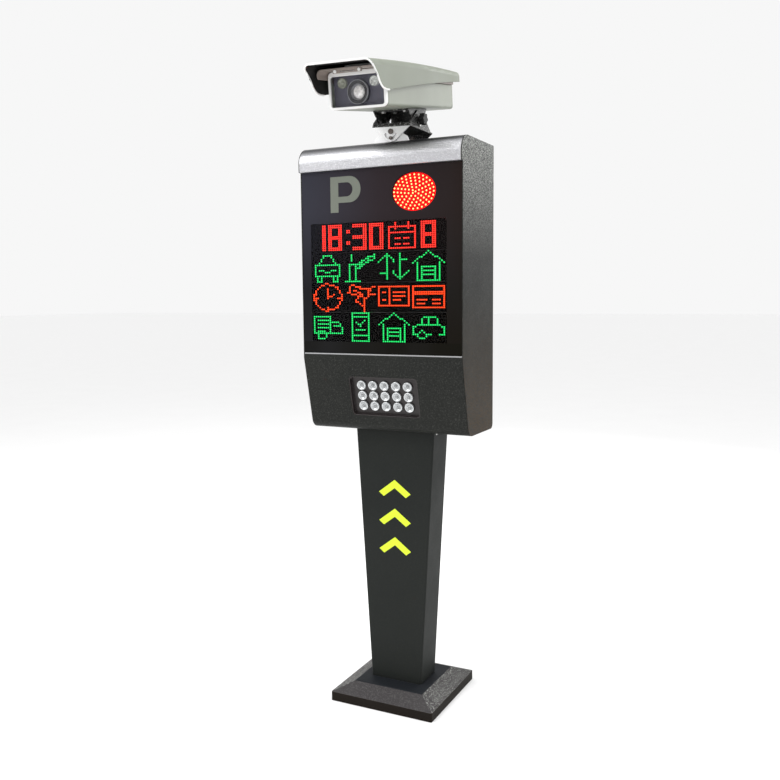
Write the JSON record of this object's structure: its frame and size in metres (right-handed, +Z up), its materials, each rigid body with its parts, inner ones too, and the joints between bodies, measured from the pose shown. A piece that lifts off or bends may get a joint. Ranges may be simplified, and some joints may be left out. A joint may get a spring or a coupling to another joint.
{
  "type": "parking terminal",
  "caption": "Parking lane terminal: tapered post on a bevelled foot, glazed LED display cabinet with fill light, and a hooded camera on a two-axis bracket.",
  "frame": {"origin": "centre of the four anchor holes at the underside of the base plate, on the ground", "axes": "+Z up, +X to the right seen from the front, the display faces -Y"},
  "size_m": [0.45, 0.5072, 1.674],
  "materials": {
    "cabinet_paint": "textured powder coat, dark charcoal",
    "post_paint": "satin dark grey paint",
    "foot_paint": "textured dark grey paint",
    "zinc_steel": "zinc plated",
    "yellow_film": "reflective yellow film",
    "dark_glass": "tinted glass",
    "black_rubber": "foam rubber",
    "pale_film": "pale grey film",
    "black_plastic": "moulded black plastic",
    "circuit_board": "solder mask",
    "red_led": "lit red epoxy",
    "clear_lens": "clear moulded plastic",
    "bare_aluminium": "bare",
    "pale_plastic": "moulded pale grey plastic",
    "bracket_paint": "black powder coat",
    "housing_paint": "satin pale sage paint",
    "white_trim": "satin white paint"
  },
  "bodies": {
    "root": {"base_plate": "zinc_steel", "cover_tabs": "zinc_steel", "base_cover_front": "foot_paint", "base_cover_rear": "foot_paint", "post": "post_paint", "post_head_plate": "zinc_steel", "post_screws": "zinc_steel", "chevron_decals": "yellow_film", "floor_plate": "zinc_steel", "post_bolts": "zinc_steel", "cabinet_body": "cabinet_paint", "top_cover": "cabinet_paint", "lower_front_panel": "cabinet_paint", "display_window": "dark_glass", "window_gasket": "black_rubber", "parking_symbol": "pale_film", "led_modules": "black_plastic", "display_rails": "zinc_steel", "display_card": "circuit_board", "signal_board": "circuit_board", "signal_leds": "red_led", "fill_light_tray": "black_plastic", "fill_light_lenses": "clear_lens", "fill_light_board": "circuit_board", "fill_light_heatsink": "bare_aluminium", "gear_plate": "zinc_steel", "power_supply": "bare_aluminium", "controller_board": "circuit_board", "din_rail": "zinc_steel", "circuit_breaker": "pale_plastic", "terminal_block": "pale_plastic", "loudspeaker": "black_plastic", "cabinet_gland": "black_plastic", "door_gasket": "black_rubber", "hinge_frame_leaves": "zinc_steel", "bracket_base": "bracket_paint", "bracket_base_bolts": "zinc_steel", "roll_bolts": "zinc_steel"},
    "link": {"bracket_link": "bracket_paint", "tilt_knob_and_pivots": "black_plastic"},
    "head": {"bracket_top": "bracket_paint", "tilt_lock_bolts": "zinc_steel", "housing_bolts": "zinc_steel", "camera_body": "housing_paint", "camera_lid": "housing_paint", "camera_rear_cap": "housing_paint", "camera_rear_gland": "black_plastic", "camera_front_frame": "white_trim", "camera_window": "dark_glass", "camera_front_plate": "black_plastic", "lens_barrel": "bare_aluminium", "lens_glass": "clear_lens", "ir_lamps": "clear_lens", "camera_module": "bare_aluminium", "sun_hood": "housing_paint", "hood_rails": "white_trim"},
    "door": {"rear_door": "cabinet_paint", "hinge_door_leaves": "zinc_steel", "lock_barrel": "zinc_steel"},
    "lock": {"lock_cam": "zinc_steel"}
  },
  "joints": [
    {"name": "head_roll", "type": "hinge", "parent": "root", "child": "link", "pos_m": [0.017, -0.034, 1.487], "axis": [0, 1, 0], "range_deg": [-21.8, 18.2]},
    {"name": "head_tilt", "type": "hinge", "parent": "link", "child": "head", "pos_m": [0.0181, -0.034, 1.52198], "axis": [0.9995, 0, -0.0314], "range_deg": [-29.4, 30.6]},
    {"name": "door_swing", "type": "hinge", "parent": "root", "child": "door", "pos_m": [-0.196, 0.0915, 1.08], "axis": [0, 0, 1], "range_deg": [0, 110]},
    {"name": "lock_turn", "type": "hinge", "parent": "door", "child": "lock", "pos_m": [0.16, 0.07, 1.09], "axis": [0, -1, 0], "range_deg": [0, 90]}
  ]
}
